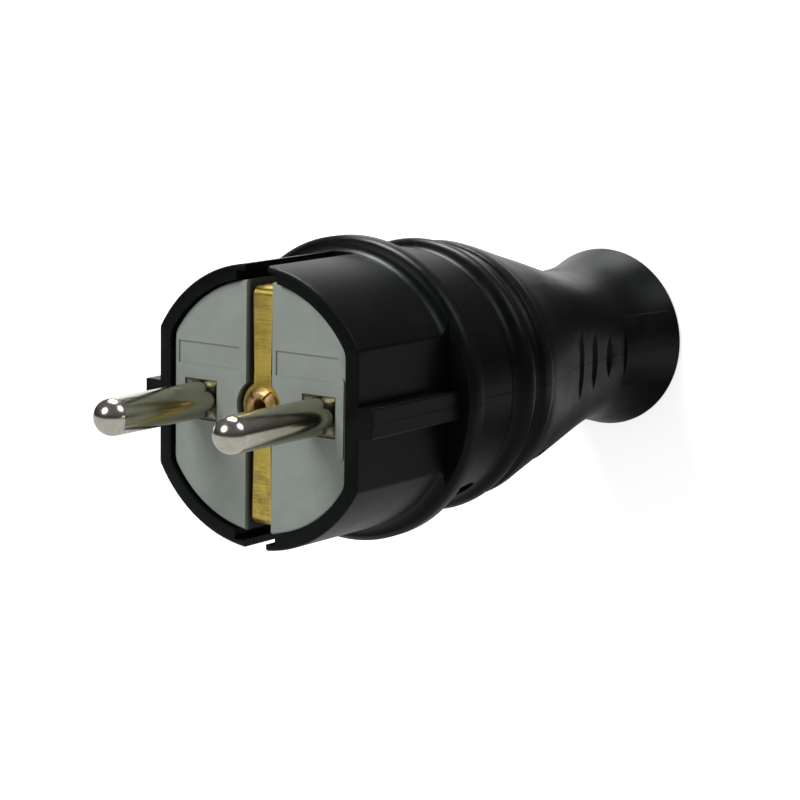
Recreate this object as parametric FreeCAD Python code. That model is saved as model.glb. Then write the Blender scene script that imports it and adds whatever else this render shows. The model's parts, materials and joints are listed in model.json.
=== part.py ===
# Rewirable two-pole plug with earth contacts at its sides, 16 A, for a 230 V socket.
# Modelled along its own axis: Y runs from the pins to the tail, Z is up, X is right as seen from the pins.
# Y = 0 is the front face of the pin carrier, and the two shells meet on the plane Z = 0.
# At the end the plug is stood on the flat rim of its tail, where it rests without rolling.
import FreeCAD, Part
import math
import os
from FreeCAD import Vector

# Pins: a round contact, a square shank through the carrier and a post that holds the wire
pin_spacing = 19.0
pin_diameter = 4.8
pin_reach = 19.4
shank_side = 5.0
post_width = 5.6
post_height = 8.0
post_length = 7.0
post_bevel = 0.4
wire_hole_diameter = 3.4
wire_hole_depth = 5.5

# Shroud, the front part of the shells that goes into the socket
shroud_diameter = 36.6
shroud_width = 32.0
shroud_wall = 1.9
shroud_corner = 1.0
shroud_inner_corner = 2.6
rim_lip = 0.65
rim_bevel = 0.3
key_width = 3.9
key_edge = 0.3
slot_width = 3.66
slot_lip = 1.0
slot_undercut_width = 6.5
slot_undercut_depth = 1.5
slot_end = 17.2

# Flange, drum and beads
flange_front = 18.6
flange_back = 21.4
flange_diameter = 40.4
flange_cove = 1.9
flange_rise = 1.1
flange_front_bevel = 0.6
edge_bevel = 0.4
drum_diameter = 35.5
drum_end = 31.0
bead_diameter = 37.2
bead_place = 34.8
bead_half = 1.35
rear_bead_diameter = 35.74
rear_bead_place = 40.2
rear_bead_curve = 1.6
groove_diameter = 34.7
body_wall = 2.25

# Grip and tail: place, half width, half height and squareness of each section
grip_sections = [
    (40.6, 17.62, 17.62, 2.0),
    (43.0, 17.18, 17.22, 2.0),
    (46.0, 16.05, 16.28, 2.12),
    (50.0, 14.50, 15.06, 2.4),
    (54.0, 13.20, 13.85, 2.65),
    (58.0, 12.30, 12.64, 2.8),
    (62.0, 11.65, 11.62, 2.8),
    (66.0, 11.20, 11.00, 2.65),
    (70.0, 10.98, 10.88, 2.4),
    (74.0, 11.25, 11.22, 2.15),
    (78.0, 12.02, 12.02, 2.0),
    (83.2, 13.32, 13.32, 2.0),
]
tail_end = 82.4
tail_radius = 13.02
section_points = 18
pad_start = 70.3
pad_height = 10.1
pad_rise = 0.25
pad_inset = 0.1
pad_stop = 0.65
grip_groove_places = [56.0, 60.8, 65.6]
grip_groove_lengths = [13.2, 9.8, 6.6]
grip_groove_depth = 0.95
grip_groove_width = 2.0

# Inside of the shells
cavity_start = 20.2
cavity_end = 67.5
cord_hole_diameter = 9.2
cord_hole_end = 72.5
funnel_diameter = 21.8
funnel_bend = (0.2, 0.58)
cradle_places = [41.0, 63.0]
cradle_thickness = 1.6
carrier_key_place = 9.0
carrier_key_thickness = 2.0
carrier_key_height = 12.0
carrier_key_reach = 1.4
boss_diameter = 8.2
drum_boss_x = 9.6
grip_boss_x = 8.6
grip_boss_y = 48.0
peg_diameter = 1.6
peg_height = 1.5
drum_peg_x = 17.0
tail_peg_x = 7.9
tail_peg_y = 70.0

# Pin carrier
carrier_depth = 18.0
carrier_plate = 3.4
carrier_skirt = 1.5
carrier_side = 2.85
carrier_inner_corner = 1.0
carrier_bevel = 0.3
tower_side = 8.4
pillar_diameter = 9.4
pillar_end = 9.2
web_thickness = 1.5
strap_backing = 1.9
panel_depth = 0.22
panels = [(-13.2, -3.3, 4.5, 7.4), (2.65, 12.5, 4.45, 7.6)]
side_pad_height = 10.4
side_pad_width = 1.1
side_pad_inset = 0.4
side_pad_corner = 0.5
side_pad_rise = 0.25

# Earth strap, rivet and terminal
strap_thickness = 0.8
strap_depth = 0.75
strap_width = 3.2
strap_neck = 2.8
strap_ring = 6.2
strap_outer = 15.3
strap_inside_bend = 0.35
strap_taper_start = 4.2
strap_taper_end = 13.6
channel_side_gap = 0.5
ring_side_gap = 0.5
rivet_bore = 1.9
rivet_shank = 3.2
rivet_flare = 5.0
rivet_flare_height = 0.9
rivet_tail = 4.2
rivet_tail_height = 0.9
rivet_petals = 5
rivet_bevel = 0.35
rivet_split = 0.28
rivet_ring = 0.35
rivet_turn = 18.0
earth_plate = 7.6
earth_thickness = 1.2
earth_bend = 0.4
earth_arm_end = 25.5
earth_screw_y = 21.0

# Screws, nuts, clamp
screw_diameter = 3.0
screw_head = 5.6
screw_head_height = 1.9
screw_bevel = 0.6
screw_tip = 0.4
screw_hole = 3.4
screw_seat_depth = 7.8
shell_screw_length = 12.0
counterbore = 5.9
nut_width = 5.5
nut_height = 2.4
cross_width = 0.8
cross_length = 3.2
cross_depth = 1.1
slot_screw_width = 0.8
post_screw_length = 3.4
earth_screw_length = 5.0
washer_side = 6.4
washer_height = 0.9
washer_corner = 0.8
clamp_place = 55.5
clamp_length = 5.6
clamp_reach = 9.7
clamp_corner = 2.0
clamp_screw_x = 7.6
clamp_screw_head = 4.4
clamp_thickness = 1.5
clamp_screw_length = 7.5
clamp_boss = 5.2
cord_diameter = 8.0
bite_thickness = 0.8
bite_count = 3

# Clearances
carrier_gap = 0.15
key_gap = 0.15
shank_gap = 0.06
post_gap = 0.3
peg_gap = 0.12
thread_gap = 0.04
nut_gap = 0.1
tip_gap = 0.5
slip_gap = 0.1

# Sizes that follow from the ones above
shroud_radius = shroud_diameter / 2
flange_radius = flange_diameter / 2
pin_radius = pin_diameter / 2
inner_radius = shroud_radius - shroud_wall
inner_half = shroud_width / 2 - shroud_wall
carrier_radius = inner_radius - carrier_gap
carrier_half = inner_half - carrier_gap
cord_hole_radius = cord_hole_diameter / 2
drum_boss_y = carrier_depth + post_length + post_gap + boss_diameter / 2
post_screw_y = carrier_depth + post_length / 2
boss_places = [
    (-drum_boss_x, drum_boss_y),
    (-grip_boss_x, grip_boss_y),
    (drum_boss_x, drum_boss_y),
    (grip_boss_x, grip_boss_y),
]
peg_places = [(-drum_peg_x, bead_place), (-tail_peg_x, tail_peg_y)]
peg_places += [(-x, y) for x, y in peg_places]
clamp_places = [(-clamp_screw_x, clamp_place), (clamp_screw_x, clamp_place)]
clamp_screw_bottom = clamp_thickness - clamp_screw_length
strap_back = strap_depth + strap_thickness
strap_floor = strap_outer - strap_thickness
grip_start = grip_sections[0][0]
rim_y = tail_end - edge_bevel
far = 60.0
tiny = 0.01


def box(x0, x1, y0, y1, z0, z1):
    return Part.makeBox(x1 - x0, y1 - y0, z1 - z0, Vector(x0, y0, z0))


def along_y(radius, y0, y1, x=0.0, z=0.0):
    return Part.makeCylinder(radius, y1 - y0, Vector(x, y0, z), Vector(0, 1, 0))


def upright(radius, x, y, z0, z1):
    return Part.makeCylinder(radius, z1 - z0, Vector(x, y, z0), Vector(0, 0, 1))


def outline_face(outline):
    # Points are (across, y); a step of four numbers is an arc through its first point.
    here = Vector(outline[0][0], outline[0][1], 0)
    first = here
    edges = []
    for step in outline[1:]:
        there = Vector(step[-2], step[-1], 0)
        if len(step) == 4:
            edges.append(Part.Arc(here, Vector(step[0], step[1], 0), there).toShape())
        else:
            edges.append(Part.LineSegment(here, there).toShape())
        here = there
    edges.append(Part.LineSegment(here, first).toShape())
    return Part.Face(Part.Wire(edges))


def turned(outline, angle=360):
    return outline_face(outline).revolve(Vector(0, 0, 0), Vector(0, 1, 0), angle)


def half_turned(outline):
    # The half above the plane where the shells meet.
    return turned(outline, -180)


def rounded(shape, radius, wanted):
    # Round the edges whose middle point passes the test.
    return shape.makeFillet(radius, [e for e in shape.Edges if wanted(e, e.CenterOfMass)])


def bevelled(shape, size, wanted):
    return shape.makeChamfer(size, [e for e in shape.Edges if wanted(e, e.CenterOfMass)])


def flatted(radius, half_width, y0, y1, corner, front_bevel=0.0, floor=-far):
    # A round bar with two flat sides, rounded where they meet and bevelled round its front end.
    bar = along_y(radius, y0, y1).common(box(-half_width, half_width, y0, y1, floor, far))
    middle_y = (y0 + y1) / 2
    bar = rounded(bar, corner, lambda e, m: is_corner(m, half_width, middle_y, floor))
    if front_bevel:
        bar = bevelled(bar, front_bevel, lambda e, m: m.y < y0 + tiny and m.z > floor + tiny)
    return bar


def is_corner(middle, half_width, middle_y, floor):
    halfway = abs(middle.y - middle_y) < tiny
    return halfway and abs(abs(middle.x) - half_width) < tiny and middle.z > floor + tiny


def half_section(y, half_width, half_height, squareness):
    # Half of a rounded section, between round and square, closed along the plane where the shells meet.
    points = []
    for k in range(section_points + 1):
        angle = math.pi * k / section_points
        c = math.cos(angle)
        x = half_width * math.copysign(abs(c) ** (2 / squareness), c)
        z = half_height * abs(math.sin(angle)) ** (2 / squareness)
        points.append(Vector(x, y, z))
    points[0].z = 0.0
    points[-1].z = 0.0
    up = Vector(0, 0, 1)
    curve = Part.BSplineCurve()
    curve.interpolate(Points=points, InitialTangent=up, FinalTangent=up * -1)
    return Part.Wire([curve.toShape(), Part.LineSegment(points[-1], points[0]).toShape()])


def fused(shapes):
    whole = shapes[0]
    for shape in shapes[1:]:
        whole = whole.fuse(shape)
    return whole.removeSplitter()


def both_sides(near, end):
    # The same stretch of x or z on the negative and on the positive side.
    return [(-end, -near), (near, end)]


def bead_outline(radius, place, valley_radius, next_valley_y):
    # The round top of a bead, and the valley that leads on from it.
    foot = (radius + valley_radius) / 2
    bead_foot = place + bead_half
    valley_middle = (bead_foot + next_valley_y) / 2
    return [(radius, place, foot, bead_foot), (valley_radius, valley_middle, foot, next_valley_y)]


def body_blank():
    valley = groove_diameter / 2
    bead = bead_diameter / 2
    rear_bead = rear_bead_diameter / 2
    drum = drum_diameter / 2
    first_foot = bead_place - bead_half
    turn = rear_bead_curve * math.sqrt(0.5)
    rear_foot = rear_bead - rear_bead_curve
    outline = [
        (0, flange_front - flange_cove),
        (shroud_radius, flange_front - flange_cove),
        (shroud_radius + 0.3 * flange_rise, flange_front - 0.36 * flange_cove,
            shroud_radius + flange_rise, flange_front),
        (flange_radius - flange_front_bevel, flange_front),
        (flange_radius, flange_front + flange_front_bevel),
        (flange_radius, flange_back - edge_bevel),
        (flange_radius - edge_bevel, flange_back),
        (drum, flange_back),
        (drum, drum_end),
        (valley, (drum_end + first_foot) / 2, (bead + valley) / 2, first_foot),
    ]
    outline += bead_outline(bead, bead_place, valley, rear_bead_place - bead_half)
    outline += [
        (rear_bead, rear_bead_place),
        (rear_foot + turn, rear_bead_place + turn, rear_foot, rear_bead_place + rear_bead_curve),
        (0, rear_bead_place + rear_bead_curve),
    ]
    return half_turned(outline)


def grip_blank():
    # It starts inside the rear bead and comes out of it, and its flared tail has a bevelled rim.
    blank = Part.makeLoft([half_section(*values) for values in grip_sections], True, False)
    return blank.common(turned([
        (0, 0),
        (far, 0),
        (far, rim_y - edge_bevel),
        (tail_radius + edge_bevel, rim_y - edge_bevel),
        (tail_radius - edge_bevel, tail_end),
        (0, tail_end),
    ]))


def tail_pads():
    # A straight band on each side of the tail that runs out at its rim.
    start = grip_radius(pad_start) + pad_rise
    end = tail_end - pad_stop
    cone = half_turned([(0, pad_start), (start, pad_start), (tail_radius - pad_inset, end), (0, end)])
    return cone.common(box(-far, far, pad_start, end, 0, pad_height / 2))


def grip_radius(y):
    # Half width of the grip at a place along it, between two of its sections.
    for before, after in zip(grip_sections, grip_sections[1:]):
        if y <= after[0]:
            share = (y - before[0]) / (after[0] - before[0])
            return before[1] + share * (after[1] - before[1])
    return tail_radius


def grip_grooves():
    # Lens-shaped finger grooves, cut by a sharp-edged disc that dips into each side.
    cutters = []
    for y, length in zip(grip_groove_places, grip_groove_lengths):
        radius = ((length / 2) ** 2 + grip_groove_depth ** 2) / (2 * grip_groove_depth)
        half = grip_groove_width / 2
        inner = radius - grip_groove_depth
        disc = turned([(0, y - half), (inner, y - half), (radius, y), (inner, y + half), (0, y + half)])
        for side in (-1, 1):
            cutter = disc.copy()
            cutter.translate(Vector(side * (grip_radius(y) + inner), 0, 0))
            cutters.append(cutter)
    return cutters


def shroud():
    front = -rim_lip
    back = flange_front + 1
    bar = flatted(shroud_radius, shroud_width / 2, front, back, shroud_corner, rim_bevel, 0)
    keys = box(-shroud_radius, shroud_radius, front, back, 0, key_width / 2)
    keys = rounded(keys, key_edge, lambda e, m: abs(m.x) > tiny and m.z > tiny and m.y < back - tiny)
    return bar.fuse(keys)


def grip():
    solid = grip_blank().fuse(tail_pads())
    for cutter in grip_grooves():
        solid = solid.cut(cutter)
    return solid


def upper_half():
    body = body_blank()
    for x0, x1 in both_sides(shroud_width / 2, far):
        body = body.cut(box(x0, x1, -far, flange_front, -far, far))
    return body.fuse(shroud()).fuse(grip())


def earth_slots():
    # Slots above and below that show the ends of the earth strap, wider under a lip.
    lip_floor = shroud_radius - slot_lip
    undercut_floor = lip_floor - slot_undercut_depth
    wide = slot_undercut_width / 2
    cuts = []
    for z0, z1 in both_sides(undercut_floor, lip_floor):
        cuts.append(box(-wide, wide, -far, slot_end, z0, z1))
    for z0, z1 in both_sides(undercut_floor, far):
        cuts.append(box(-slot_width / 2, slot_width / 2, -far, slot_end, z0, z1))
    return cuts


def front_hollow():
    # Room for the carrier, less the two ribs that key it to the shells.
    hollow = flatted(inner_radius, inner_half, -rim_lip - 1, cavity_start, shroud_inner_corner)
    y0 = carrier_key_place - carrier_key_thickness / 2
    y1 = carrier_key_place + carrier_key_thickness / 2
    reach = inner_half - carrier_key_reach
    high = carrier_key_height / 2
    for x0, x1 in both_sides(reach, far):
        hollow = hollow.cut(box(x0, x1, y0, y1, -high, high))
    return hollow


def rear_hollow():
    # Wiring space, following the outside at one wall thickness, less the screw bosses and cord cradles.
    drum_inside = drum_diameter / 2 - body_wall
    outline = [(0, cavity_start), (drum_inside, cavity_start), (drum_inside, grip_start - body_wall)]
    for y, half_width, half_height, squareness in grip_sections:
        if grip_start < y < cavity_end:
            outline.append((min(half_width, half_height) - body_wall, y))
    outline += [(outline[-1][0], cavity_end), (0, cavity_end)]
    hollow = turned(outline)
    for x, y in boss_places:
        hollow = hollow.cut(upright(boss_diameter / 2, x, y, -far, far))
    for y in cradle_places:
        hollow = hollow.cut(cradle(y, cradle_thickness, cord_hole_radius))
    return hollow


def cradle(y, thickness, radius):
    half = thickness / 2
    return along_y(far, y - half, y + half).cut(along_y(radius, y - half, y + half))


def cord_entry():
    # A straight hole through the end wall, opening like a trumpet so that a cord bends gently.
    mouth = funnel_diameter / 2
    bend_radius = cord_hole_radius + funnel_bend[0] * (mouth - cord_hole_radius)
    bend_y = cord_hole_end + funnel_bend[1] * (tail_end - cord_hole_end)
    return turned([
        (0, cavity_end - 1),
        (cord_hole_radius, cavity_end - 1),
        (cord_hole_radius, cord_hole_end),
        (bend_radius, bend_y, mouth, tail_end),
        (0, tail_end),
    ])


def shell(outside, hollow):
    solid = outside
    for cut in earth_slots() + [front_hollow(), cord_entry(), hollow]:
        solid = solid.cut(cut)
    return solid


def lower_hollow(hollow):
    # The lower shell also has the posts of the cord clamp and the ridges that bite the cord.
    for x, y in clamp_places:
        hollow = hollow.cut(upright(clamp_boss / 2, x, y, -far, 0))
    pitch = clamp_length / bite_count
    for k in range(bite_count):
        y = clamp_place + (k - (bite_count - 1) / 2) * pitch
        ridge = cradle(y, bite_thickness, cord_diameter / 2)
        hollow = hollow.cut(ridge)
    return hollow


def upper_shell(outside):
    solid = shell(outside, rear_hollow())
    tip_end = shell_screw_length - screw_seat_depth + tip_gap
    for x, y in boss_places:
        solid = solid.cut(hexagon(nut_width + 2 * nut_gap, x, y, 0, nut_height + nut_gap))
        solid = solid.cut(upright(screw_hole / 2, x, y, 0, tip_end))
    for x, y in peg_places:
        solid = solid.cut(upright(peg_diameter / 2 + peg_gap, x, y, 0, peg_height + peg_gap))
    return solid


def lower_shell(outside):
    mirrored = outside.mirror(Vector(0, 0, 0), Vector(0, 0, 1))
    solid = shell(mirrored, lower_hollow(rear_hollow()))
    for x, y in boss_places:
        solid = solid.cut(upright(screw_hole / 2, x, y, -far, 0))
        solid = solid.cut(upright(counterbore / 2, x, y, -far, -screw_seat_depth))
    for x, y in clamp_places:
        solid = solid.cut(upright(screw_diameter / 2 + thread_gap, x, y, clamp_screw_bottom - tip_gap, 0))
    for x, y in peg_places:
        solid = solid.fuse(upright(peg_diameter / 2, x, y, -peg_height, peg_height))
    return solid


def hexagon(width, x, y, z0, z1):
    radius = width / math.sqrt(3)
    points = []
    for k in range(7):
        angle = math.radians(60 * k)
        points.append(Vector(x + radius * math.cos(angle), y + radius * math.sin(angle), z0))
    return Part.Face(Part.makePolygon(points)).extrude(Vector(0, 0, z1 - z0))


def nut(x, y):
    blank = hexagon(nut_width, x, y, nut_gap / 2, nut_gap / 2 + nut_height)
    return blank.cut(upright(screw_diameter / 2 + thread_gap, x, y, 0, nut_height + 1))


def pan_screw(x, y, seat, direction, length, drive, head=screw_head):
    # Head on one side of the seat plane and shank on the other; direction +1 points the shank up.
    radius = head / 2
    shank = screw_diameter / 2
    top = -screw_head_height
    screw = turned([
        (0, top),
        (radius - 2 * screw_bevel, top),
        (radius, top + screw_bevel),
        (radius, 0),
        (shank, 0),
        (shank, length - screw_tip),
        (shank - screw_tip, length),
        (0, length),
    ])
    for cut in drive(top):
        screw = screw.cut(cut)
    screw.rotate(Vector(0, 0, 0), Vector(1, 0, 0), 90 * direction)
    screw.translate(Vector(x, y, seat))
    return screw


def cross_drive(top):
    half_length = cross_length / 2
    half_width = cross_width / 2
    first = box(-half_length, half_length, top - 1, top + cross_depth, -half_width, half_width)
    second = box(-half_width, half_width, top - 1, top + cross_depth, -half_length, half_length)
    return [first, second]


def slot_drive(top):
    half_width = slot_screw_width / 2
    return [box(-far, far, top - 1, top + cross_depth, -half_width, half_width)]


def carrier_hollow():
    # Coring from the rear, less the towers round the shanks, the earth pillar and the strap backing.
    inside = carrier_radius - carrier_skirt
    half = carrier_half - carrier_side
    hollow = flatted(inside, half, carrier_plate, carrier_depth + 1, carrier_inner_corner)
    half_tower = tower_side / 2
    for side in (-1, 1):
        x = side * pin_spacing / 2
        hollow = hollow.cut(box(x - half_tower, x + half_tower, 0, far, -half_tower, half_tower))
    half_backing = strap_width / 2 + strap_backing
    for z0, z1 in both_sides(strap_floor - strap_backing, far):
        hollow = hollow.cut(box(-half_backing, half_backing, 0, far, z0, z1))
    hollow = hollow.cut(along_y(pillar_diameter / 2, 0, pillar_end))
    half_web = web_thickness / 2
    return hollow.cut(box(-half_web, half_web, 0, pillar_end, -far, far))


def pin_carrier():
    corner = shroud_inner_corner - carrier_gap
    solid = flatted(carrier_radius, carrier_half, 0, carrier_depth, corner, carrier_bevel)
    solid = solid.cut(carrier_hollow())
    half_channel = strap_width / 2 + channel_side_gap
    solid = solid.cut(box(-half_channel, half_channel, -1, strap_back, -far, far))
    for z0, z1 in both_sides(strap_floor, far):
        solid = solid.cut(box(-half_channel, half_channel, -1, far, z0, z1))
    solid = rounded(solid, strap_inside_bend, is_strap_corner)
    solid = solid.cut(along_y(strap_ring / 2 + ring_side_gap, -1, strap_back))
    half_hole = shank_side / 2 + shank_gap
    for side in (-1, 1):
        x = side * pin_spacing / 2
        solid = solid.cut(box(x - half_hole, x + half_hole, -1, far, -half_hole, half_hole))
    half_key = carrier_key_thickness / 2 + key_gap
    reach = inner_half - carrier_key_reach - key_gap
    for x0, x1 in both_sides(reach, far):
        solid = solid.cut(box(x0, x1, carrier_key_place - half_key, carrier_key_place + half_key, -far, far))
    solid = solid.cut(along_y(rivet_shank / 2 + slip_gap, -1, far))
    for x0, x1, z0, z1 in panels:
        solid = solid.cut(box(x0, x1, -1, panel_depth, z0, z1))
    return solid.fuse(side_pad()).removeSplitter()


def is_strap_corner(edge, middle):
    at_corner = abs(middle.y - strap_back) < tiny and abs(abs(middle.z) - strap_floor) < tiny
    return at_corner and edge.Length > strap_width


def side_pad():
    # A low raised bar along the right edge of the front face.
    x1 = carrier_half - side_pad_inset
    half = side_pad_height / 2
    pad = box(x1 - side_pad_width, x1, -side_pad_rise, side_pad_rise, -half, half)
    return rounded(pad, side_pad_corner, lambda e, m: abs(m.y) < tiny)


def contact_pin(side):
    x = side * pin_spacing / 2
    half = shank_side / 2
    tip = pin_reach - pin_radius
    corner = pin_radius * math.sqrt(0.5)
    post_end = carrier_depth + post_length
    half_post = post_height / 2
    tip_arc = (corner, -tip - corner, pin_radius, -tip)
    contact = turned([(0, -pin_reach), tip_arc, (pin_radius, slip_gap), (0, slip_gap)])
    contact.translate(Vector(x, 0, 0))
    shank = box(x - half, x + half, slip_gap, carrier_depth, -half, half)
    post = box(x - post_width / 2, x + post_width / 2, carrier_depth, post_end, -half_post, half_post)
    post = bevelled(post, post_bevel, lambda e, m: m.y > post_end - tiny)
    pin = fused([contact, shank, post])
    pin = pin.cut(along_y(wire_hole_diameter / 2, post_end - wire_hole_depth, post_end + 1, x))
    return pin.cut(upright(screw_diameter / 2 + thread_gap, x, post_screw_y, 0, post_height))


def earth_strap():
    # One flat strip, narrow at its ring, whose ends bend back along the shells.
    half = strap_width / 2
    neck = strap_neck / 2
    bend = strap_floor - strap_inside_bend
    outer = (strap_inside_bend + strap_thickness) * math.sqrt(0.5)
    inner = strap_inside_bend * math.sqrt(0.5)
    turn_y = strap_back + strap_inside_bend
    end = slot_end - slip_gap
    leg_face = outline_face([
        (strap_taper_end, strap_depth),
        (bend, strap_depth),
        (bend + outer, turn_y - outer, strap_outer, turn_y),
        (strap_outer, end),
        (strap_floor, end),
        (strap_floor, turn_y),
        (bend + inner, turn_y - inner, bend, strap_back),
        (strap_taper_end, strap_back),
    ])
    leg = leg_face.extrude(Vector(0, 0, strap_width))
    leg.translate(Vector(0, 0, -half))
    neck_points = [(-half, strap_taper_end), (-neck, strap_taper_start), (-neck, 0)]
    neck_points += [(neck, 0), (neck, strap_taper_start), (half, strap_taper_end), (-half, strap_taper_end)]
    polygon = Part.makePolygon([Vector(x, strap_depth, z) for x, z in neck_points])
    plate = Part.Face(polygon).extrude(Vector(0, strap_thickness, 0))
    strips = [along_y(strap_ring / 2, strap_depth, strap_back)]
    for turn in (0, 180):
        for strip, start in ((leg, -90), (plate, 0)):
            placed = strip.copy()
            placed.rotate(Vector(0, 0, 0), Vector(0, 1, 0), start + turn)
            strips.append(placed)
    return fused(strips).cut(along_y(rivet_shank / 2 + slip_gap, 0, far))


def earth_rivet():
    bore = rivet_bore / 2
    shank = rivet_shank / 2
    flare = rivet_flare / 2
    tail = rivet_tail / 2
    top = strap_depth - rivet_flare_height
    back = pillar_end + earth_thickness
    end = back + rivet_tail_height
    rivet = turned([
        (bore, end),
        (bore, strap_depth - rivet_flare_height / 2),
        (bore + rivet_bevel, top),
        (flare - 2 * rivet_bevel, top),
        (flare, strap_depth - rivet_bevel),
        (flare, strap_depth),
        (shank, strap_depth),
        (shank, back),
        (tail, back),
        (tail, end - rivet_bevel),
        (tail - rivet_bevel / 2, end),
    ])
    for k in range(rivet_petals):
        split = box(bore + rivet_ring, far, top - 1, strap_depth, -rivet_split / 2, rivet_split / 2)
        split.rotate(Vector(0, 0, 0), Vector(0, 1, 0), rivet_turn + 360 * k / rivet_petals)
        rivet = rivet.cut(split)
    return rivet


def earth_terminal():
    # An angle bracket: its plate is riveted to the strap through the carrier, its arm takes the earth wire.
    half = earth_plate / 2
    plate_back = pillar_end + earth_thickness
    arm_top = earth_thickness - half
    plate = box(-half, half, pillar_end, plate_back, -half, half)
    arm = box(-half, half, pillar_end, earth_arm_end, -half, arm_top)
    bracket = fused([plate, arm])
    inner = earth_bend
    outer = earth_bend + earth_thickness
    bracket = rounded(bracket, inner, lambda e, m: abs(m.y - plate_back) < tiny and abs(m.z - arm_top) < tiny)
    bracket = rounded(bracket, outer, lambda e, m: abs(m.y - pillar_end) < tiny and abs(m.z + half) < tiny)
    bracket = bracket.cut(along_y(rivet_shank / 2 + slip_gap, 0, far))
    return bracket.cut(upright(screw_diameter / 2 + thread_gap, 0, earth_screw_y, -far, far))


def earth_washer():
    half = washer_side / 2
    floor = earth_thickness - earth_plate / 2
    plate = box(-half, half, earth_screw_y - half, earth_screw_y + half, floor, floor + washer_height)
    plate = rounded(plate, washer_corner, lambda e, m: abs(m.z - floor - washer_height / 2) < tiny)
    return plate.cut(upright(screw_diameter / 2 + slip_gap, 0, earth_screw_y, -far, far))


def cord_clamp():
    # A saddle over the cord with a lug at each side.
    y0 = clamp_place - clamp_length / 2
    y1 = clamp_place + clamp_length / 2
    inner = cord_diameter / 2
    outer = inner + clamp_thickness
    arch = along_y(outer, y0, y1).common(box(-far, far, y0, y1, 0, far))
    lugs = box(-clamp_reach, clamp_reach, y0, y1, 0, clamp_thickness)
    saddle = fused([arch, lugs]).cut(along_y(inner, y0, y1))
    half = clamp_thickness / 2
    at_ends = clamp_reach - tiny
    saddle = rounded(saddle, clamp_corner, lambda e, m: abs(m.x) > at_ends and abs(m.z - half) < tiny)
    for x, y in clamp_places:
        saddle = saddle.cut(upright(screw_hole / 2, x, y, -1, far))
    return saddle


def stand_up(shape):
    # Tail down and pins up: x stays, z becomes y, and the tail's end lies on the table.
    placed = shape.copy()
    placed.rotate(Vector(0, 0, 0), Vector(1, 0, 0), -90)
    placed.translate(Vector(0, 0, tail_end))
    return placed


def pieces():
    outside = upper_half()
    parts = {
        "upper_shell": upper_shell(outside),
        "lower_shell": lower_shell(outside),
        "pin_carrier": pin_carrier(),
        "earth_strap": earth_strap(),
        "earth_rivet": earth_rivet(),
        "earth_terminal": earth_terminal(),
        "earth_washer": earth_washer(),
        "cord_clamp": cord_clamp(),
    }
    post_top = post_height / 2
    for name, side in (("left", -1), ("right", 1)):
        x = side * pin_spacing / 2
        clamp_x = side * clamp_screw_x
        parts[name + "_pin"] = contact_pin(side)
        parts[name + "_pin_screw"] = pan_screw(x, post_screw_y, post_top, -1, post_screw_length, slot_drive)
        parts[name + "_clamp_screw"] = pan_screw(
            clamp_x, clamp_place, clamp_thickness, -1, clamp_screw_length, slot_drive, clamp_screw_head)
    washer_top = -earth_plate / 2 + earth_thickness + washer_height
    parts["earth_screw"] = pan_screw(0, earth_screw_y, washer_top, -1, earth_screw_length, slot_drive)
    names = ["drum_left", "grip_left", "drum_right", "grip_right"]
    for name, (x, y) in zip(names, boss_places):
        parts["shell_screw_" + name] = pan_screw(x, y, -screw_seat_depth, 1, shell_screw_length, cross_drive)
        parts["shell_nut_" + name] = nut(x, y)
    return parts


os.makedirs("parts", exist_ok=True)
for name, shape in pieces().items():
    solids = shape.Solids
    print(name, "solids", len(solids), "valid", shape.isValid(), "volume", round(shape.Volume, 1))
    solid = solids[0] if len(solids) == 1 else shape
    stand_up(solid).exportStep("parts/%s.step" % name)
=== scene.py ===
import json
import math

import bmesh
import bpy
import numpy as np
from mathutils import Matrix, Vector


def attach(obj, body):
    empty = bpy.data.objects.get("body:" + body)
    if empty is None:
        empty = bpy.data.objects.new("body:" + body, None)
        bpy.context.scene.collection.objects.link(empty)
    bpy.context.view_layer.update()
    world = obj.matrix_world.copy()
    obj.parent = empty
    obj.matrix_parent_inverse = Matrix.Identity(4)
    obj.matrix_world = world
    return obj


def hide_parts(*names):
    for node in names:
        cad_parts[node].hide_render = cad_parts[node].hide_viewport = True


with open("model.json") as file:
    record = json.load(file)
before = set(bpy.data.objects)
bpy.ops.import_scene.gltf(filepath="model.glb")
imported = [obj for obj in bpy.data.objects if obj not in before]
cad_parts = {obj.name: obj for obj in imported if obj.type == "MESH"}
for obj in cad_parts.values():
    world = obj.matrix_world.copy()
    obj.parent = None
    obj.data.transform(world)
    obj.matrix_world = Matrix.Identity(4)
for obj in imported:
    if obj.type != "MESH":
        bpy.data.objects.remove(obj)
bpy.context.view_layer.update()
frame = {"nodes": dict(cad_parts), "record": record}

record = frame["record"]
scene = bpy.context.scene
print("frame loaded:", len(frame["nodes"]), "nodes")


# the plug's own frame: x to the right seen from the pins, y from pins to tail, z up, origin
# in the carrier's front face, on the plane where the two halves of the shell meet
plugFrame = {
    "pinMounts": ("left_pin", "right_pin"),
    "mountToFace": 0.0085,  # from the pins' mounts back to the carrier's face
    "millimetre": 0.001,
}


def findPlugFrame(s):
    pins = [mount for mount in record["mounts"] if mount["name"] in s["pinMounts"]]
    along = -Vector(pins[0]["axis"]).normalized()
    middle = (Vector(pins[0]["pos_m"]) + Vector(pins[1]["pos_m"])) / 2
    side = Vector((1, 0, 0))
    up = side.cross(along)
    return middle + along * s["mountToFace"], Matrix((side, along, up)).transposed()


plugOrigin, plugTurn = findPlugFrame(plugFrame)
plugPitch = math.atan2(-plugTurn[2][1], plugTurn[1][1])


def inPlug(points):
    shifted = np.asarray(points, float).reshape(-1, 3) - np.array(plugOrigin)
    return shifted @ np.array(plugTurn) / plugFrame["millimetre"]


def fromPlug(x, y, z):
    return plugOrigin + plugTurn @ (Vector((x, y, z)) * plugFrame["millimetre"])


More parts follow.
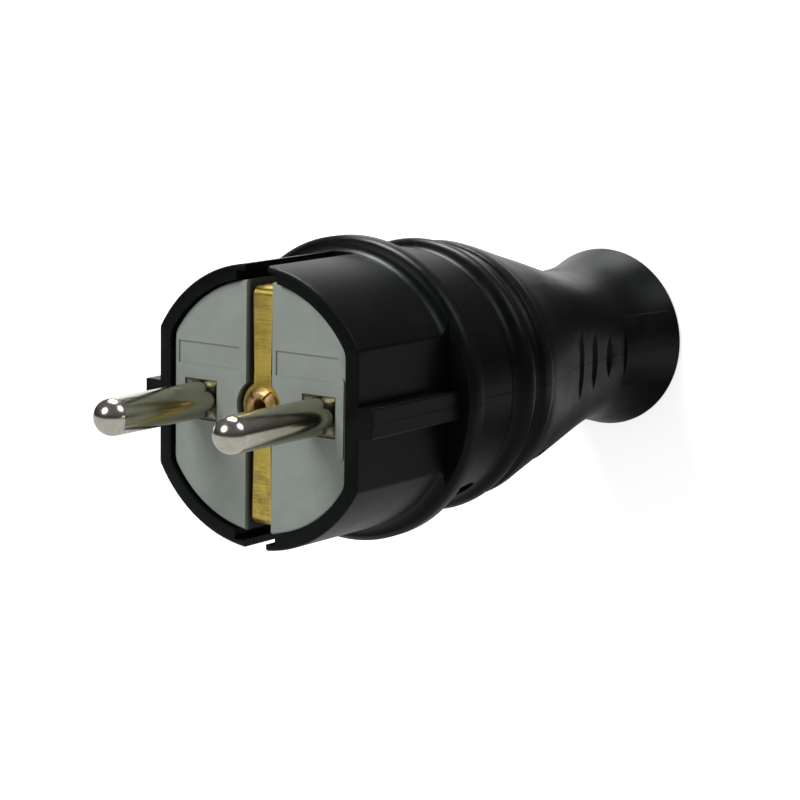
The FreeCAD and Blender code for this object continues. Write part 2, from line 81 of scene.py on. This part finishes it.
def directionFromPlug(direction):
    return (plugTurn @ Vector(direction)).normalized()


def addObject(name, data):
    added = bpy.data.objects.new(name, data)
    scene.collection.objects.link(added)
    return added


# camera, at the photograph's viewing angle: radians and millimetres in the plug's frame
cameraSettings = {
    "azimuth": 0.6254914, "elevation": 0.1694912, "roll": 0.0155799,
    "distance": 356.41654, "aim": (21.977288, 0.0, 3.464987),
    "focalPixels": 2927.21268, "imagePixels": 800.0, "sensor": 36.0, "nearest": 0.01,
}


def addCamera(s):
    azimuth, elevation, roll = s["azimuth"], s["elevation"], s["roll"]
    back = Vector((math.sin(azimuth) * math.cos(elevation),
                   -math.cos(azimuth) * math.cos(elevation), math.sin(elevation)))
    level = Vector((0, 0, 1)).cross(back).normalized()
    upward = back.cross(level)
    right = math.cos(roll) * level + math.sin(roll) * upward
    top = -math.sin(roll) * level + math.cos(roll) * upward
    place = Vector(s["aim"]) + back * s["distance"]
    data = bpy.data.cameras.new("photoCamera")
    data.sensor_width = s["sensor"]
    data.lens = s["focalPixels"] * s["sensor"] / s["imagePixels"]
    data.clip_start = s["nearest"]
    camera = addObject("photoCamera", data)
    turn = plugTurn @ Matrix((right, top, back)).transposed()
    camera.matrix_world = Matrix.Translation(fromPlug(*place)) @ turn.to_4x4()
    scene.camera = camera


addCamera(cameraSettings)
print("camera placed")


# shader maths: a Wire is a socket that can stand in a Python expression
class Wire:
    def __init__(self, tree, node, socket=None):
        self.tree = tree
        self.node = node
        self.socket = socket or next((s for s in node.outputs if s.enabled), None)

    def __getitem__(self, name):
        return Wire(self.tree, self.node, self.node.outputs[name])

    def reckon(self, operation, *values):
        return addNode(self.tree, "ShaderNodeMath", {"operation": operation},
                       dict(enumerate(values)))

    def __add__(self, other):
        return self.reckon("ADD", self, other)

    def __radd__(self, other):
        return self.reckon("ADD", other, self)

    def __sub__(self, other):
        return self.reckon("SUBTRACT", self, other)

    def __rsub__(self, other):
        return self.reckon("SUBTRACT", other, self)

    def __mul__(self, other):
        return self.reckon("MULTIPLY", self, other)

    def __rmul__(self, other):
        return self.reckon("MULTIPLY", other, self)

    def __pow__(self, other):
        return self.reckon("POWER", self, other)

    def __abs__(self):
        return self.reckon("ABSOLUTE", self)

    def __gt__(self, other):
        return self.reckon("GREATER_THAN", self, other)

    def larger(self, other):
        return self.reckon("MAXIMUM", self, other)

    def smaller(self, other):
        return self.reckon("MINIMUM", self, other)


def addNode(tree, kind, settings=None, sockets=None):
    node = tree.nodes.new(kind)
    for name, value in (settings or {}).items():
        setattr(node, name, value)
    for name, value in (sockets or {}).items():
        if isinstance(name, int):
            socket = node.inputs[name]
        else:
            socket = next(s for s in node.inputs if s.enabled and s.name == name)
        if isinstance(value, Wire):
            tree.links.new(value.socket, socket)
        elif socket.type == "RGBA" and len(value) == 3:
            socket.default_value = (*value, 1)
        else:
            socket.default_value = value
    return Wire(tree, node)


def fade(tree, value, low, high, bottom=0.0, top=1.0):
    return addNode(tree, "ShaderNodeMapRange", {"interpolation_type": "SMOOTHSTEP"}, {
        "Value": value, "From Min": low, "From Max": high, "To Min": bottom, "To Max": top})


def shared(first, second, share):
    return first * share + second * (1 - share)


def roughnessFor(s, amount):
    return s["smooth"] + (s["rough"] - s["smooth"]) * amount


def emptyMaterial(name):
    material = bpy.data.materials.new(name)
    material.use_nodes = True
    material.node_tree.nodes.clear()
    return material


class Finish:
    def __init__(self, name):
        self.material = emptyMaterial(name)
        self.tree = self.material.node_tree
        start = -(plugTurn.transposed() @ plugOrigin) / plugFrame["millimetre"]
        scale = 1 / plugFrame["millimetre"]
        self.place = self.node("ShaderNodeMapping", {"vector_type": "POINT"}, {
            "Vector": self.node("ShaderNodeTexCoord")["Object"], "Location": start,
            "Rotation": (plugPitch, 0, 0),
            "Scale": (scale, scale, scale)})  # now in the plug's frame, in millimetres
        parts = self.node("ShaderNodeSeparateXYZ", {}, {"Vector": self.place})
        self.x, self.y, self.z = parts["X"], parts["Y"], parts["Z"]

    def node(self, kind, settings=None, sockets=None):
        return addNode(self.tree, kind, settings, sockets)

    def noise(self, scale, detail, roughness, warp=0.0, stretch=None):
        place = self.place
        if stretch:
            place = self.node("ShaderNodeVectorMath", {"operation": "MULTIPLY"},
                              {0: place, 1: stretch})
        return self.node("ShaderNodeTexNoise", {}, {
            "Vector": place, "Scale": scale, "Detail": detail, "Roughness": roughness,
            "Distortion": warp})["Fac"]

    def band(self, value, low, high, bottom=0.0, top=1.0):
        return fade(self.tree, value, low, high, bottom, top)

    def mixed(self, first, second, amount):
        return self.node("ShaderNodeMix", {"data_type": "RGBA"}, {
            "Factor": amount, "A": first, "B": second})

    def finish(self, s, colour, roughness, heights):
        # each height has its strength and its depth in millimetres in the look's bumps
        sockets = {"Base Color": colour, "Roughness": roughness, **s["constants"]}
        for name, height in heights.items():
            strength, depth = s["bumps"][name]
            bump = {"Height": height, "Strength": strength,
                    "Distance": depth * plugFrame["millimetre"]}
            if "Normal" in sockets:
                bump["Normal"] = sockets["Normal"]
            sockets["Normal"] = self.node("ShaderNodeBump", {}, bump)
        surface = self.node("ShaderNodeBsdfPrincipled", {}, sockets)
        self.node("ShaderNodeOutputMaterial", {}, {"Surface": surface})
        return self.material


# satin black moulding of the shell; places and widths are in millimetres in every look
shellLook = {
    "deep": (0.0026, 0.0031, 0.0029), "worn": (0.0044, 0.0051, 0.0048),
    "dust": (0.011, 0.012, 0.012), "seam": (0.001, 0.001, 0.001),
    "cloud": {"scale": 0.16, "detail": 3.0, "roughness": 0.55, "warp": 0.6},
    "fine": {"scale": 3.2, "detail": 3.0, "roughness": 0.6},
    "grain": {"scale": 9.0, "detail": 2.0, "roughness": 0.6},
    "specks": {"scale": 1.7, "detail": 2.0, "roughness": 0.7},
    "wornFrom": (0.42, 0.68), "specksFrom": (0.71, 0.78), "specksDepth": 0.35,
    "seamHalf": 0.09, "seamDepth": 0.7,
    "smooth": 0.33, "rough": 0.40, "wornShare": 0.55, "specksRough": 0.2, "fineInGrain": 0.8,
    "bumps": {"cloud": (0.03, 0.30), "grain": (0.22, 0.010), "seam": (0.5, 0.05)},
    "constants": {"Specular IOR Level": 0.12, "Specular Tint": (0.90, 1.0, 0.95)},
}


def makeShellFinish(s):
    f = Finish("satinBlackMoulding")
    cloudy = f.noise(**s["cloud"])
    fine = f.noise(**s["fine"])
    grain = f.noise(**s["grain"])
    seam = f.band(abs(f.z), 0.0, s["seamHalf"], 1.0, 0.0)
    worn = f.band(cloudy, *s["wornFrom"])
    specks = f.band(f.noise(**s["specks"]), *s["specksFrom"]) * s["specksDepth"]
    colour = f.mixed(f.mixed(s["deep"], s["worn"], worn), s["dust"], specks)
    colour = f.mixed(colour, s["seam"], seam * s["seamDepth"])
    roughness = roughnessFor(s, shared(worn, fine, s["wornShare"])) + specks * s["specksRough"]
    return f.finish(s, colour, roughness, {
        "cloud": cloudy, "grain": grain + fine * s["fineInGrain"], "seam": 1 - seam})


# pale grey moulding of the pin carrier, with painted shade in its channel, its ring pocket and
# round the pins' holes
carrierLook = {
    "main": (0.262, 0.292, 0.262), "shade": (0.240, 0.268, 0.240),
    "soil": (0.13, 0.135, 0.115), "grime": (0.018, 0.020, 0.017),
    "cloud": {"scale": 0.22, "detail": 4.0, "roughness": 0.6, "warp": 0.4},
    "fine": {"scale": 2.4, "detail": 3.0, "roughness": 0.6},
    "grain": {"scale": 8.0, "detail": 2.0, "roughness": 0.5},
    "soiling": {"scale": 0.9, "detail": 5.0, "roughness": 0.7},
    "shadeFrom": (0.35, 0.65), "soilFrom": (0.60, 0.74), "soilDepth": 0.22,
    "channelEdge": (2.13, 2.18), "pocketEdge": (3.62, 3.67),
    "channelInward": (0.05, 1.1), "channelDepth": 0.93,
    "pinX": 9.5, "holeEdge": (2.59, 2.69), "holeDepth": 0.9,
    "smooth": 0.42, "rough": 0.58,
    "bumps": {"cloud": (0.12, 0.3), "grain": (0.25, 0.016)},
    "constants": {"Specular IOR Level": 0.35},
}


def makeCarrierFinish(s):
    f = Finish("paleGreyMoulding")
    cloudy = f.noise(**s["cloud"])
    fine = f.noise(**s["fine"])
    grain = f.noise(**s["grain"])
    soil = f.band(f.noise(**s["soiling"]), *s["soilFrom"]) * s["soilDepth"]
    colour = f.mixed(s["main"], s["shade"], f.band(cloudy, *s["shadeFrom"]))
    colour = f.mixed(colour, s["soil"], soil)
    # painted shade: the channel beside the strap and the rivet's pocket darken with depth
    ring = (f.x ** 2 + f.z ** 2) ** 0.5
    channel = f.band(abs(f.x), *s["channelEdge"], 1.0, 0.0).larger(
        f.band(ring, *s["pocketEdge"], 1.0, 0.0))
    inward = f.band(f.y, *s["channelInward"])
    colour = f.mixed(colour, s["grime"], channel * inward * s["channelDepth"])
    # painted shade: a thin dark line round each pin's square hole stands for the gap
    hole = abs(abs(f.x) - s["pinX"]).larger(abs(f.z))
    colour = f.mixed(colour, s["grime"], f.band(hole, *s["holeEdge"], s["holeDepth"], 0.0))
    return f.finish(s, colour, roughnessFor(s, fine), {"cloud": cloudy, "grain": grain + fine})


# nickel plating of the two pins, brushed along their length, with an olive painted reflection of
# the carrier behind their tips, painted shade of the gap round the square of their holes, and
# worn bright on its edges
pinLook = {
    "bright": (0.63, 0.60, 0.53), "dull": (0.46, 0.44, 0.36), "edge": (0.66, 0.64, 0.56),
    "stain": (0.07, 0.06, 0.035), "tarnish": (0.35, 0.34, 0.23),
    "cloud": {"scale": 0.5, "detail": 4.0, "roughness": 0.6, "warp": 1.0},
    "lines": {"scale": 1.0, "detail": 3.0, "roughness": 0.7, "stretch": (9.0, 0.5, 9.0)},
    "turned": {"scale": 1.0, "detail": 2.0, "roughness": 0.6, "stretch": (0.3, 11.0, 0.3)},
    "spots": {"scale": 1.6, "detail": 3.0, "roughness": 0.6},
    "pinX": 9.5, "edgeFrom": (1.95, 2.45),
    "cloudShare": 0.6, "dullFrom": (0.38, 0.66), "dullDepth": 0.55,
    "tarnishAlong": (-18.0, -10.0), "tarnishDepth": 0.35, "tarnishInLines": 0.8,
    "stainFrom": (2.20, 2.85), "stainAlong": (-0.15, 0.05), "spotsInStain": 0.9,
    "stainDepth": 0.9,
    "smooth": 0.15, "rough": 0.25, "dullShare": 0.5,
    "bumps": {"lines": (0.12, 0.01), "turned": (0.15, 0.008), "cloud": (0.04, 0.08)},
    "constants": {"Metallic": 1.0},
}


def makePinFinish(s):
    f = Finish("nickelPlate")
    across = abs(abs(f.x) - s["pinX"])
    edge = f.band(across.smaller(abs(f.z)), *s["edgeFrom"])
    cloudy = f.noise(**s["cloud"])
    lines = f.noise(**s["lines"])
    turned = f.noise(**s["turned"])
    dull = f.band(shared(cloudy, lines, s["cloudShare"]), *s["dullFrom"])
    # painted reflection: olive darkening from behind the tips to the root stands for the
    # mirrored carrier
    tarnish = f.band(f.y, *s["tarnishAlong"]) * (s["tarnishDepth"] + lines * s["tarnishInLines"])
    colour = f.mixed(s["bright"], s["dull"], dull * s["dullDepth"])
    colour = f.mixed(colour, s["tarnish"], tarnish)
    colour = f.mixed(colour, s["edge"], edge)
    # painted shade: a dark frame broken up by noise on each square's front face stands for the
    # gap to its hole
    spotted = across.larger(abs(f.z)) + f.noise(**s["spots"]) * s["spotsInStain"]
    stain = f.band(spotted, *s["stainFrom"]) * f.band(f.y, *s["stainAlong"])
    colour = f.mixed(colour, s["stain"], stain * s["stainDepth"])
    roughness = roughnessFor(s, shared(dull, turned, s["dullShare"]))
    return f.finish(s, colour, roughness, {"lines": lines, "turned": turned, "cloud": cloudy})


# brass of the strap, streaked across its length, rubbed bright beside the ring, with a painted
# highlight and painted shade along its long edges
brassLook = {
    "bright": (0.78, 0.60, 0.135), "dull": (0.50, 0.37, 0.075), "edge": (0.95, 0.80, 0.30),
    "rim": (0.16, 0.10, 0.02), "soil": (0.34, 0.24, 0.11),
    "streaks": {"scale": 1.0, "detail": 4.0, "roughness": 0.65, "warp": 0.4,
                "stretch": (0.35, 1.5, 4.0)},
    "fine": {"scale": 1.0, "detail": 3.0, "roughness": 0.6, "stretch": (1.6, 6.0, 16.0)},
    "cloud": {"scale": 0.35, "detail": 3.0, "roughness": 0.6},
    "soiling": {"scale": 0.45, "detail": 3.0, "roughness": 0.6},
    "taper": (4.2, 13.6), "halfWidths": (1.4, 1.6),
    "edgeIn": 0.20, "edgeHalf": 0.14, "edgeWander": 0.1, "edgeDepth": 0.8,
    "rimFrom": (0.04, 0.14), "rimWander": 0.15, "rimDepth": 0.85,
    "rubbedAt": 5.2, "rubbedReach": (0.6, 2.6), "rubbedDepth": 0.6,
    "streakShare": 0.6, "dullFrom": (0.36, 0.64), "soilFrom": (0.48, 0.66), "soilDepth": 0.55,
    "smooth": 0.28, "rough": 0.46, "dullShare": 0.6,
    "bumps": {"fine": (0.2, 0.012), "streaks": (0.12, 0.06)},
    "constants": {"Metallic": 1.0},
}


def makeBrassFinish(s):
    f = Finish("streakedBrass")
    streaks = f.noise(**s["streaks"])
    fine = f.noise(**s["fine"])
    cloudy = f.noise(**s["cloud"])
    halfWidth = f.node("ShaderNodeMapRange", {}, {
        "Value": abs(f.z), "From Min": s["taper"][0], "From Max": s["taper"][1],
        "To Min": s["halfWidths"][0], "To Max": s["halfWidths"][1]})
    inward = halfWidth - abs(f.x)  # from the strap's long edge
    # painted highlight: a bright line just inside each long edge stands for the rounded edge
    # catching light
    wandering = inward - s["edgeIn"] + (cloudy - 0.5) * s["edgeWander"]
    edge = f.band(abs(wandering), 0.0, s["edgeHalf"], 1.0, 0.0)
    # painted shade: a dark line along the very edge of the strap, away from the ring
    rim = f.band(inward + (streaks - 0.5) * s["rimWander"], *s["rimFrom"], 1.0, 0.0)
    rim = rim * (abs(f.z) > s["taper"][0])
    dull = f.band(shared(streaks, cloudy, s["streakShare"]), *s["dullFrom"])
    rubbed = f.band(abs(abs(f.z) - s["rubbedAt"]), *s["rubbedReach"], 1.0, 0.0)
    soiled = f.band(f.noise(**s["soiling"]), *s["soilFrom"]) * (1 - rubbed) * s["soilDepth"]
    colour = f.mixed(s["bright"], s["dull"], dull * (1 - rubbed * s["rubbedDepth"]))
    colour = f.mixed(colour, s["edge"], edge * cloudy * s["edgeDepth"])
    colour = f.mixed(colour, s["soil"], soiled)
    colour = f.mixed(colour, s["rim"], rim * s["rimDepth"])
    roughness = roughnessFor(s, shared(dull, fine, s["dullShare"]))
    return f.finish(s, colour, roughness, {"fine": fine, "streaks": streaks})


# copper of the tubular rivet
copperLook = {
    "bright": (0.76, 0.55, 0.26), "dull": (0.58, 0.36, 0.14),
    "cloud": {"scale": 0.9, "detail": 4.0, "roughness": 0.6, "warp": 0.8},
    "fine": {"scale": 6.0, "detail": 3.0, "roughness": 0.6},
    "dullFrom": (0.38, 0.62), "smooth": 0.36, "rough": 0.52, "dullShare": 0.6,
    "bumps": {"fine": (0.2, 0.015), "cloud": (0.3, 0.10)},
    "constants": {"Metallic": 1.0},
}


def makeCopperFinish(s):
    f = Finish("rolledCopper")
    cloudy = f.noise(**s["cloud"])
    fine = f.noise(**s["fine"])
    dull = f.band(cloudy, *s["dullFrom"])
    colour = f.mixed(s["bright"], s["dull"], dull)
    roughness = roughnessFor(s, shared(dull, fine, s["dullShare"]))
    return f.finish(s, colour, roughness, {"fine": fine, "cloud": cloudy})


# zinc plate of the screws, nuts, washer and clamp
zincLook = {
    "bright": (0.60, 0.61, 0.60), "dull": (0.34, 0.34, 0.32), "warm": (0.55, 0.50, 0.34),
    "cloud": {"scale": 0.8, "detail": 4.0, "roughness": 0.6, "warp": 0.8},
    "fine": {"scale": 7.0, "detail": 3.0, "roughness": 0.6},
    "warmth": {"scale": 0.5, "detail": 2.0, "roughness": 0.5},
    "dullFrom": (0.36, 0.66), "warmFrom": (0.50, 0.70), "warmDepth": 0.5,
    "smooth": 0.24, "rough": 0.46, "dullShare": 0.5,
    "bumps": {"fine": (0.2, 0.012)},
    "constants": {"Metallic": 1.0},
}


def makeZincFinish(s):
    f = Finish("zincPlate")
    cloudy = f.noise(**s["cloud"])
    fine = f.noise(**s["fine"])
    dull = f.band(cloudy, *s["dullFrom"])
    warm = f.band(f.noise(**s["warmth"]), *s["warmFrom"]) * s["warmDepth"]
    colour = f.mixed(f.mixed(s["bright"], s["dull"], dull), s["warm"], warm)
    roughness = roughnessFor(s, shared(dull, fine, s["dullShare"]))
    return f.finish(s, colour, roughness, {"fine": fine})


finishes = {
    "black_shell": makeShellFinish(shellLook),
    "grey_carrier": makeCarrierFinish(carrierLook),
    "plated_pin": makePinFinish(pinLook),
    "brass_strap": makeBrassFinish(brassLook),
    "copper_rivet": makeCopperFinish(copperLook),
    "zinc_steel": makeZincFinish(zincLook),
}
print("finishes made:", len(finishes))


# screw threads, wound by one geometry node tree; millimetres until they are placed
threadSettings = {
    "major": 1.5, "root": 1.24, "ridge": 0.25, "pitch": 0.5,
    "pointsPerTurn": 20, "ridgeSides": 4, "slack": 0.03, "slot": "zinc_steel",
}


def windingTree(s):
    tree = bpy.data.node_groups.new("threadWinding", "GeometryNodeTree")
    face = tree.interface
    inputs = {"Root Radius": "Float", "Ridge": "Float", "Turns": "Float", "Height": "Float",
              "Points Per Turn": "Int", "Finish": "Material"}
    for name, kind in inputs.items():
        face.new_socket(name, in_out="INPUT", socket_type="NodeSocket" + kind)
    face.new_socket("Geometry", in_out="OUTPUT", socket_type="NodeSocketGeometry")
    given = addNode(tree, "NodeGroupInput")
    path = addNode(tree, "GeometryNodeCurveSpiral", {}, {
        "Resolution": given["Points Per Turn"], "Rotations": given["Turns"],
        "Start Radius": given["Root Radius"], "End Radius": given["Root Radius"],
        "Height": given["Height"], "Reverse": True})  # reversed, it winds to the right
    path = addNode(tree, "GeometryNodeSetCurveNormal", {"mode": "Z_UP"}, {"Curve": path})
    ridge = addNode(tree, "GeometryNodeCurvePrimitiveCircle", {"mode": "RADIUS"}, {
        "Resolution": s["ridgeSides"], "Radius": given["Ridge"]})
    body = addNode(tree, "GeometryNodeCurveToMesh", {}, {
        "Curve": path, "Profile Curve": ridge["Curve"], "Fill Caps": True})
    body = addNode(tree, "GeometryNodeRealizeInstances", {}, {"Geometry": body})
    body = addNode(tree, "GeometryNodeSetMaterial", {}, {
        "Geometry": body, "Material": given["Finish"]})
    addNode(tree, "NodeGroupOutput", {}, {"Geometry": body})
    return tree, {item.name: item.identifier for item in face.items_tree
                  if item.in_out == "INPUT"}


def settledMesh(holder):
    graph = bpy.context.evaluated_depsgraph_get()
    mesh = bpy.data.meshes.new_from_object(holder.evaluated_get(graph), depsgraph=graph)
    bpy.data.objects.remove(holder)  # its modifier goes with it
    return mesh


def meshPoints(mesh):
    points = np.empty(len(mesh.vertices) * 3)
    mesh.vertices.foreach_get("co", points)
    return inPlug(points)


def shankOf(points, s):
    # middle of the screw across its axis, and where its shank starts and ends along it
    middle = (points.min(axis=0) + points.max(axis=0)) / 2
    across = np.hypot(points[:, 0] - middle[0], points[:, 1] - middle[1])
    ends = points[abs(across - s["major"]) < s["slack"], 2]
    return middle[0], middle[1], ends.min(), ends.max()


def addThread(name, tree, sockets, s):
    x, y, low, high = shankOf(meshPoints(frame["nodes"][name].data), s)
    height = high - low - 2 * s["ridge"]
    holder = addObject(name + "_winding", bpy.data.meshes.new(name + "_winding"))
    winding = holder.modifiers.new("winding", "NODES")
    winding.node_group = tree
    values = {"Root Radius": s["root"], "Ridge": s["ridge"], "Turns": height / s["pitch"],
              "Height": height, "Points Per Turn": s["pointsPerTurn"],
              "Finish": finishes[s["slot"]]}
    for label, value in values.items():
        winding[sockets[label]] = value
    mesh = settledMesh(holder)
    size = Matrix.Scale(plugFrame["millimetre"], 4)
    start = Matrix.Translation((x, y, low + s["ridge"]))
    mesh.transform(Matrix.Translation(plugOrigin) @ plugTurn.to_4x4() @ size @ start)
    piece = addObject(name + "_thread", mesh)
    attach(piece, "root")
    s["slot"]


def slimShank(mesh, s):
    # the turned blank inside a thread: its shank goes down to the thread's root
    points = meshPoints(mesh)
    x, y = shankOf(points, s)[:2]
    for vertex, point in zip(mesh.vertices, points):
        across = math.hypot(point[0] - x, point[1] - y)
        if abs(across - s["major"]) < s["slack"]:
            shrink = s["root"] / across
            vertex.co = fromPlug(x + (point[0] - x) * shrink, y + (point[1] - y) * shrink,
                                 point[2])


screwNames = sorted(name for name in frame["nodes"] if "screw" in name)
threadTree, threadSockets = windingTree(threadSettings)
for screwName in screwNames:
    addThread(screwName, threadTree, threadSockets, threadSettings)
print("threads wound:", len(screwNames))


# each CAD node is shown as a merged copy with smooth bevels
pieceSettings = {"mergeDistance": 1e-6, "creaseAngle": math.radians(50), "weight": 50}


def slotOf(node):
    return node.data.materials[0].name.split(".")[0]


def smoothCopy(name, s):
    node = frame["nodes"][name]
    work = bmesh.new()
    work.from_mesh(node.data)
    bmesh.ops.remove_doubles(work, verts=work.verts, dist=s["mergeDistance"])
    mesh = bpy.data.meshes.new(name + "_form")
    work.to_mesh(mesh)
    work.free()
    for layer in ("custom_normal", "sharp_face", "sharp_edge"):
        if layer in mesh.attributes:
            mesh.attributes.remove(mesh.attributes[layer])
    if name in screwNames:
        slimShank(mesh, threadSettings)
    mesh.shade_smooth()
    mesh.set_sharp_from_angle(angle=s["creaseAngle"])
    form = addObject(name + "_form", mesh)
    even = form.modifiers.new("evenBevels", "WEIGHTED_NORMAL")
    even.mode = "FACE_AREA_WITH_ANGLE"
    even.weight = s["weight"]
    even.keep_sharp = True
    final = settledMesh(form)
    final.materials.clear()
    final.materials.append(finishes[slotOf(node)])
    piece = addObject(name + "_finished", final)
    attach(piece, "root")
    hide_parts(name)
    slotOf(node)


for nodeName in sorted(frame["nodes"]):
    smoothCopy(nodeName, pieceSettings)
print("pieces shown:", len(frame["nodes"]))


# floor, card, lamps and world; directions, and the card's places, are in the plug's frame
studio = {
    "floorHalf": 1.5, "floorColour": (0.80, 0.80, 0.80), "floorLift": 0.67,
    "card": {"half": 400.0, "height": -24.0, "light": 0.64,
             "dimMiddle": (24.0, 84.0), "dimReach": (18.0, 50.0), "dimmest": 0.15},
    "lampsAim": (0, 30, 0),
    "lamps": {
        "keySoftbox": {"towards": (-0.28, -0.72, 0.64), "distance": 0.60,
                       "size": 0.27, "watts": 2.3},
        "frontFill": {"towards": (0.10, -0.95, -0.10), "distance": 0.80,
                      "size": 0.60, "watts": 1.0},
    },
    "roomDiffuse": 0.36, "roomEdge": (-0.1, 0.6), "roomGloss": (0.02, 0.14),
    "glows": [  # towards, cosine at the rim, cosine at the full core, strength
        ((-0.28, -0.74, 0.62), 0.945, 0.985, 5.0),
        ((0.60, 0.30, 0.72), 0.950, 0.985, 4.0),
        ((-0.36, 0.36, 0.86), 0.984, 0.994, 30.0),
        ((-0.16, 0.38, 0.91), 0.984, 0.994, 24.0),
        ((-0.56, 0.80, 0.24), 0.900, 0.980, 1.3),
    ],
}


def seenDirectly(path):
    return path["Is Camera Ray"] + path["Is Transmission Ray"]


def addSquare(name, corners, material):
    mesh = bpy.data.meshes.new(name)
    mesh.from_pydata(corners, [], [(0, 1, 2, 3)])
    mesh.materials.append(material)
    square = addObject(name, mesh)
    return square


def addFloor(s):
    half = s["floorHalf"]
    material = emptyMaterial("paleFloor")
    tree = material.node_tree
    seen = seenDirectly(addNode(tree, "ShaderNodeLightPath"))
    matt = addNode(tree, "ShaderNodeBsdfDiffuse", {}, {"Color": s["floorColour"]})
    lift = addNode(tree, "ShaderNodeEmission", {}, {
        "Color": (1, 1, 1), "Strength": seen * s["floorLift"]})
    both = addNode(tree, "ShaderNodeAddShader", {}, {0: matt, 1: lift})
    addNode(tree, "ShaderNodeOutputMaterial", {}, {"Surface": both})
    corners = [(-half, -half, 0), (half, -half, 0), (half, half, 0), (-half, half, 0)]
    floor = addSquare("paleFloor", corners, material)
    floor.visible_glossy = False  # metal and gloss see the card and the world instead


def addCard(s):
    # a glowing white card under the plug, standing in for a lit table, which only gloss sees; it
    # dims below the tail as a painted shadow of the plug
    half, z = s["half"], s["height"]
    finish = Finish("whiteCard")
    x, y = s["dimMiddle"]
    away = ((finish.x - x) ** 2 + (finish.y - y) ** 2) ** 0.5
    lit = finish.band(away, *s["dimReach"], s["dimmest"], 1.0)
    light = finish.node("ShaderNodeEmission", {}, {
        "Color": (1, 1, 1), "Strength": lit * s["light"]})
    finish.node("ShaderNodeOutputMaterial", {}, {"Surface": light})
    finish.material.cycles.emission_sampling = "NONE"
    corners = [fromPlug(*corner, z) for corner in (
        (-half, -half), (half, -half), (half, half), (-half, half))]
    card = addSquare("whiteCard", corners, finish.material)
    for ray in ("camera", "diffuse", "transmission", "shadow", "volume_scatter"):
        setattr(card, "visible_" + ray, False)


def addLamps(s):
    middle = fromPlug(*s["lampsAim"])
    for name, lamp in s["lamps"].items():
        data = bpy.data.lights.new(name, "AREA")
        data.size = lamp["size"]
        data.energy = lamp["watts"]
        light = addObject(name, data)
        direction = directionFromPlug(lamp["towards"])
        light.matrix_world = (Matrix.Translation(middle + direction * lamp["distance"])
                              @ direction.to_track_quat("Z", "Y").to_matrix().to_4x4())
        light.visible_camera = False
        light.visible_glossy = False


def addWorld(s):
    # white for the camera, the photograph's lights for gloss, a plain pale room for the rest
    world = bpy.data.worlds.new("whiteRoom")
    world.use_nodes = True
    world.cycles.sampling_method = "NONE"
    tree = world.node_tree
    tree.nodes.clear()

    def along(direction):
        place = addNode(tree, "ShaderNodeTexCoord")["Generated"]
        return addNode(tree, "ShaderNodeVectorMath", {"operation": "DOT_PRODUCT"}, {
            0: place, 1: tuple(directionFromPlug(direction))})["Value"]

    path = addNode(tree, "ShaderNodeLightPath")
    seen = seenDirectly(path)
    glossy = path["Is Glossy Ray"]
    mirrored = fade(tree, along((0, 0, 1)), *s["roomEdge"], *s["roomGloss"])
    for towards, rim, core, strength in s["glows"]:
        mirrored = mirrored + fade(tree, along(towards), rim, core, 0.0, strength)
    matt = s["roomDiffuse"] * (1 - glossy) * (1 - seen)
    room = addNode(tree, "ShaderNodeBackground", {}, {
        "Color": (1, 1, 1), "Strength": seen + glossy * (1 - seen) * mirrored + matt})
    addNode(tree, "ShaderNodeOutputWorld", {}, {"Surface": room})
    scene.world = world


addFloor(studio)
addCard(studio["card"])
addLamps(studio)
addWorld(studio)
scene.view_settings.view_transform = "Standard"
print("studio lit")
